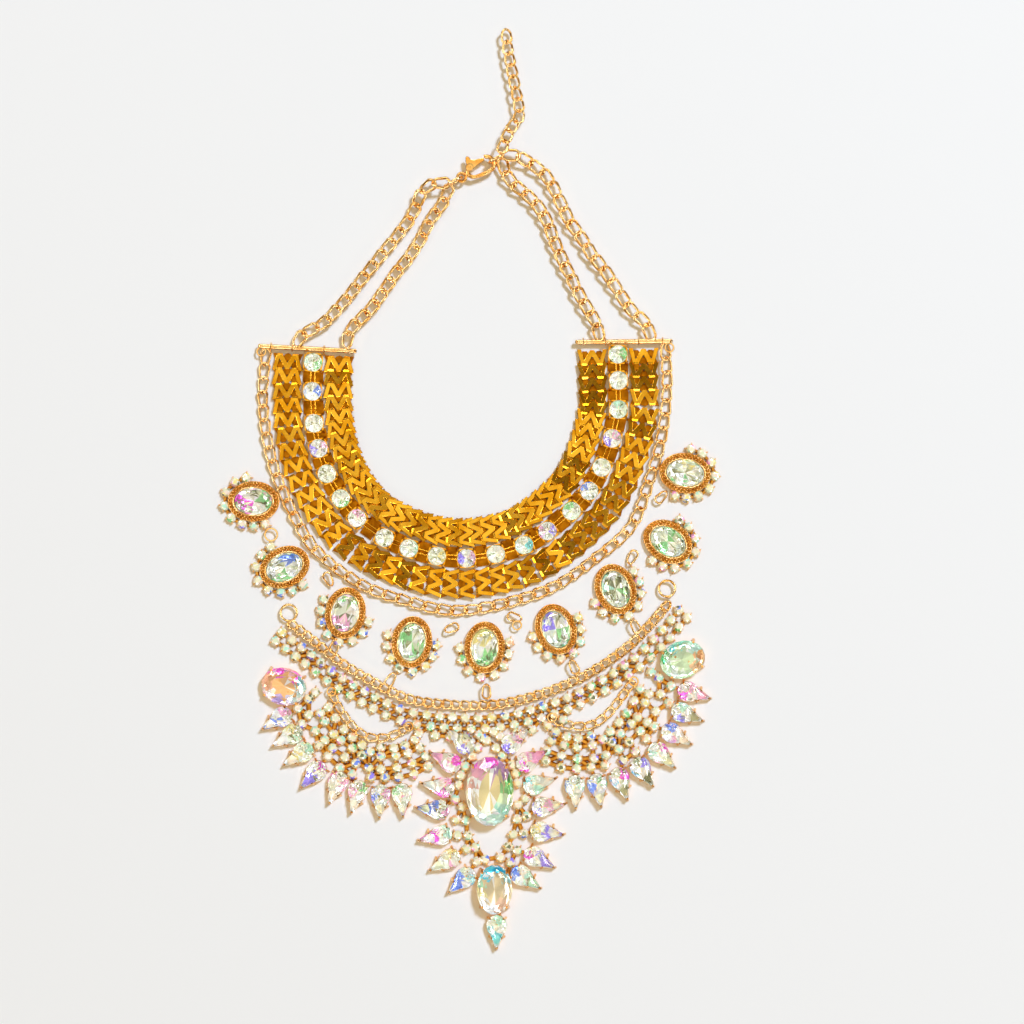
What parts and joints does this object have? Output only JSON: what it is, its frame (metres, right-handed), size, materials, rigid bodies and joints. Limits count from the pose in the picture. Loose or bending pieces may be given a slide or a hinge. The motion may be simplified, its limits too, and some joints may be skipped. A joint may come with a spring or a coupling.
{
  "type": "bib necklace",
  "caption": "Gold-tone bib necklace laid flat: pierced collar with square-set stones, oval medallions, fringed fans of pear stones and an oval pendant, on chains with a lobster clasp.",
  "frame": {"origin": "middle of the underside, on the surface that the necklace lies on", "axes": "+X to the right, +Y up from the pendant to the clasp, +Z up from the surface"},
  "size_m": [0.187, 0.3396, 0.0097],
  "materials": {
    "collar_gold": "polished gold-plated brass, deep yellow",
    "chain_gold": "polished pale gold plate on chain and clasp",
    "setting_gold": "polished gold plate on cast settings",
    "crystal": "faceted crystal with a rainbow coating",
    "large_crystal": "large faceted crystal with a rainbow coating"
  },
  "bodies": {
    "necklace": {"bib_band": "setting_gold", "bib_chain": "chain_gold", "border_chain": "chain_gold", "centre_oval": "large_crystal", "clasp_body": "chain_gold", "clasp_ring_left": "chain_gold", "clasp_ring_right": "chain_gold", "collar_band_inner": "collar_gold", "collar_band_outer": "collar_gold", "collar_stone_row": "crystal", "end_bar_left": "chain_gold", "end_bar_right": "chain_gold", "extender_chain": "chain_gold", "fan_left": "crystal", "fan_right": "crystal", "lower_oval": "large_crystal", "medallion_setting_1": "setting_gold", "medallion_setting_2": "setting_gold", "medallion_setting_3": "setting_gold", "medallion_setting_4": "setting_gold", "medallion_setting_5": "setting_gold", "medallion_setting_6": "setting_gold", "medallion_setting_7": "setting_gold", "medallion_setting_8": "setting_gold", "medallion_setting_9": "setting_gold", "medallion_stone_1": "crystal", "medallion_stone_2": "crystal", "medallion_stone_3": "crystal", "medallion_stone_4": "crystal", "medallion_stone_5": "crystal", "medallion_stone_6": "crystal", "medallion_stone_7": "crystal", "medallion_stone_8": "crystal", "medallion_stone_9": "crystal", "neck_chain_left_inner": "chain_gold", "neck_chain_left_outer": "chain_gold", "neck_chain_right_inner": "chain_gold", "neck_chain_right_outer": "chain_gold", "pendant_frame": "setting_gold", "pendant_pear_bottom": "crystal", "pendant_pear_left_1": "crystal", "pendant_pear_left_2": "crystal", "pendant_pear_left_3": "crystal", "pendant_pear_left_4": "crystal", "pendant_pear_left_5": "crystal", "pendant_pear_left_6": "crystal", "pendant_pear_left_7": "crystal", "pendant_pear_right_1": "crystal", "pendant_pear_right_2": "crystal", "pendant_pear_right_3": "crystal", "pendant_pear_right_4": "crystal", "pendant_pear_right_5": "crystal", "pendant_pear_right_6": "crystal", "pendant_pear_right_7": "crystal", "side_oval_left": "large_crystal", "side_oval_right": "large_crystal", "swag_chain_left": "chain_gold", "swag_chain_right": "chain_gold"},
    "lever": {"clasp_lever": "chain_gold"}
  },
  "joints": [
    {"name": "clasp_lever_hinge", "type": "hinge", "parent": "necklace", "child": "lever", "pos_m": [0.00003, 0.11904, 0.00355], "axis": [0, 0, -1], "range_deg": [0, 20], "stiffness_Nm_per_rad": 0.002, "springref_deg": -5.73}
  ]
}
